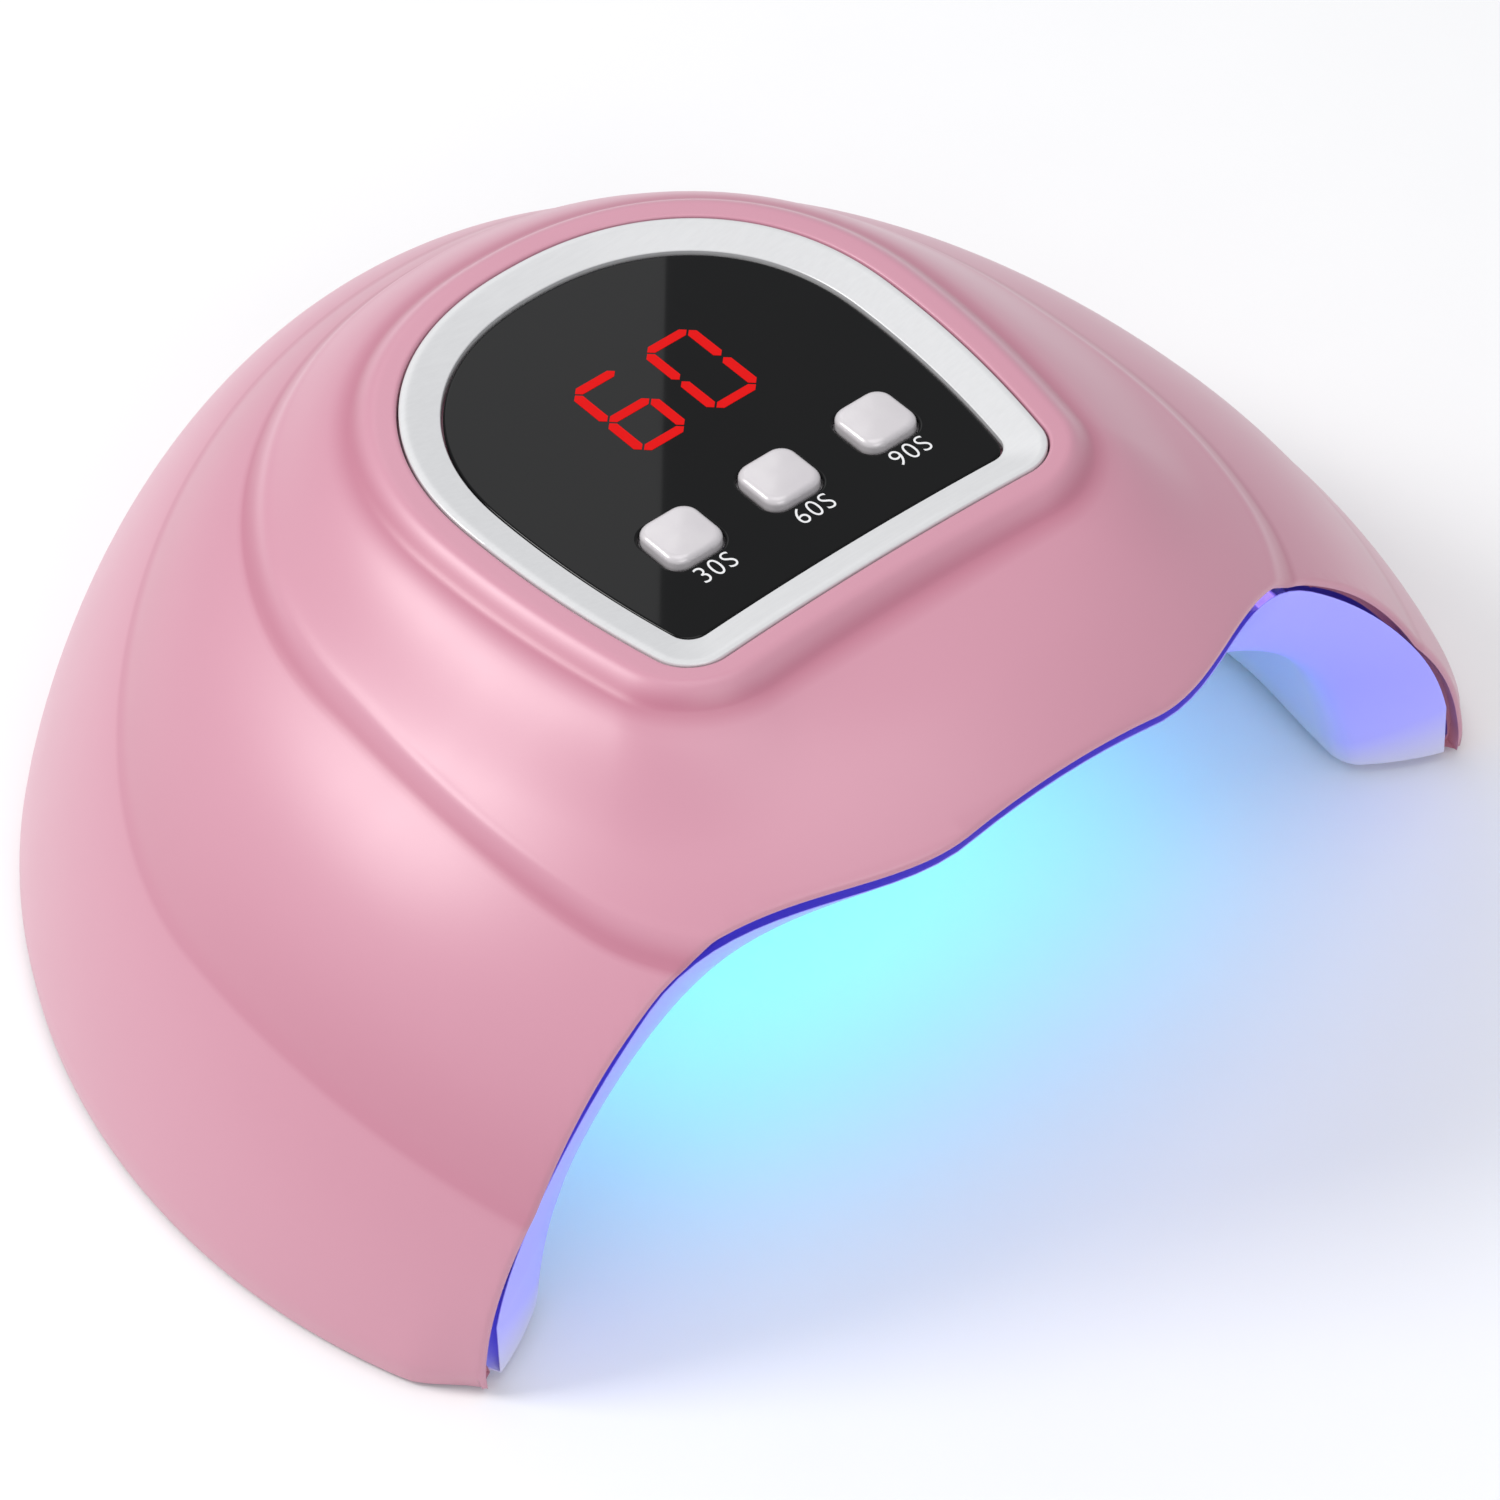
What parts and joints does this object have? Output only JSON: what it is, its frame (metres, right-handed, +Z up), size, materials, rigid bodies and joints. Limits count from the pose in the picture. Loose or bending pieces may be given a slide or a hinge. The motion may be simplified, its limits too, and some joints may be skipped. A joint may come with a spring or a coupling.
{
  "type": "uv led nail lamp",
  "caption": "Dome-shaped table-top nail curing lamp: pink cover, black timer window with buttons, white reflector tunnel open at the front for one hand.",
  "frame": {"origin": "on the table, under the middle of the lamp's bounding box", "axes": "+Z up, +X across the lamp to the user's right, -Y out of the hand opening towards the user"},
  "size_m": [0.2078, 0.175, 0.0794],
  "materials": {
    "aluminium_can": "drawn can",
    "bead_lens": "clear epoxy lens, lit violet",
    "black_plastic": "moulded black",
    "black_window": "polished black acrylic",
    "button_cap": "satin pearl white",
    "connector": "natural nylon",
    "display": "dark red filter face",
    "green_board": "green solder mask",
    "led_board": "white masked aluminium core",
    "pink_shell": "satin moulded ABS, powder pink",
    "rubber": "matt",
    "sensor_lens": "dark infrared lens",
    "silver_trim": "satin silver plating on plastic",
    "steel": "zinc plated",
    "switch_plunger": "moulded",
    "white_liner": "gloss white reflective moulding"
  },
  "bodies": {
    "lamp": {"board_screw_1": "steel", "board_screw_2": "steel", "board_screw_3": "steel", "capacitor": "aluminium_can", "case_screw_1": "steel", "case_screw_2": "steel", "case_screw_3": "steel", "case_screw_4": "steel", "control_board": "green_board", "display_block": "display", "display_window": "black_window", "driver_coil": "black_plastic", "hand_sensor": "sensor_lens", "inlet_pin": "steel", "led_bead_01": "bead_lens", "led_bead_02": "bead_lens", "led_bead_03": "bead_lens", "led_bead_04": "bead_lens", "led_bead_05": "bead_lens", "led_bead_06": "bead_lens", "led_bead_07": "bead_lens", "led_bead_08": "bead_lens", "led_bead_09": "bead_lens", "led_bead_10": "bead_lens", "led_bead_11": "bead_lens", "led_bead_12": "bead_lens", "led_bead_13": "bead_lens", "led_bead_14": "bead_lens", "led_bead_15": "bead_lens", "led_bead_16": "bead_lens", "led_bead_17": "bead_lens", "led_bead_18": "bead_lens", "led_board_centre": "led_board", "led_board_rear": "led_board", "led_board_roof_left": "led_board", "led_board_roof_right": "led_board", "led_board_wall_left": "led_board", "led_board_wall_right": "led_board", "led_plug": "connector", "power_inlet": "black_plastic", "power_plug": "connector", "reflector_liner": "white_liner", "rubber_foot_1": "rubber", "rubber_foot_2": "rubber", "rubber_foot_3": "rubber", "rubber_foot_4": "rubber", "switch_body_30s": "black_plastic", "switch_body_60s": "black_plastic", "switch_body_90s": "black_plastic", "timer_chip": "black_plastic", "top_shell": "pink_shell", "trim_ring": "silver_trim"},
    "timer_button_30s": {"button_30s": "button_cap", "switch_plunger_30s": "switch_plunger"},
    "timer_button_60s": {"button_60s": "button_cap", "switch_plunger_60s": "switch_plunger"},
    "timer_button_90s": {"button_90s": "button_cap", "switch_plunger_90s": "switch_plunger"}
  },
  "joints": [
    {"name": "press_30s", "type": "slide", "parent": "lamp", "child": "timer_button_30s", "axis": [0, 0, -1], "range_m": [0, 0.0006], "stiffness_N_per_m": 400, "springref_m": -0.0005},
    {"name": "press_60s", "type": "slide", "parent": "lamp", "child": "timer_button_60s", "axis": [0, 0, -1], "range_m": [0, 0.0006], "stiffness_N_per_m": 400, "springref_m": -0.0005},
    {"name": "press_90s", "type": "slide", "parent": "lamp", "child": "timer_button_90s", "axis": [0, 0, -1], "range_m": [0, 0.0006], "stiffness_N_per_m": 400, "springref_m": -0.0005}
  ]
}
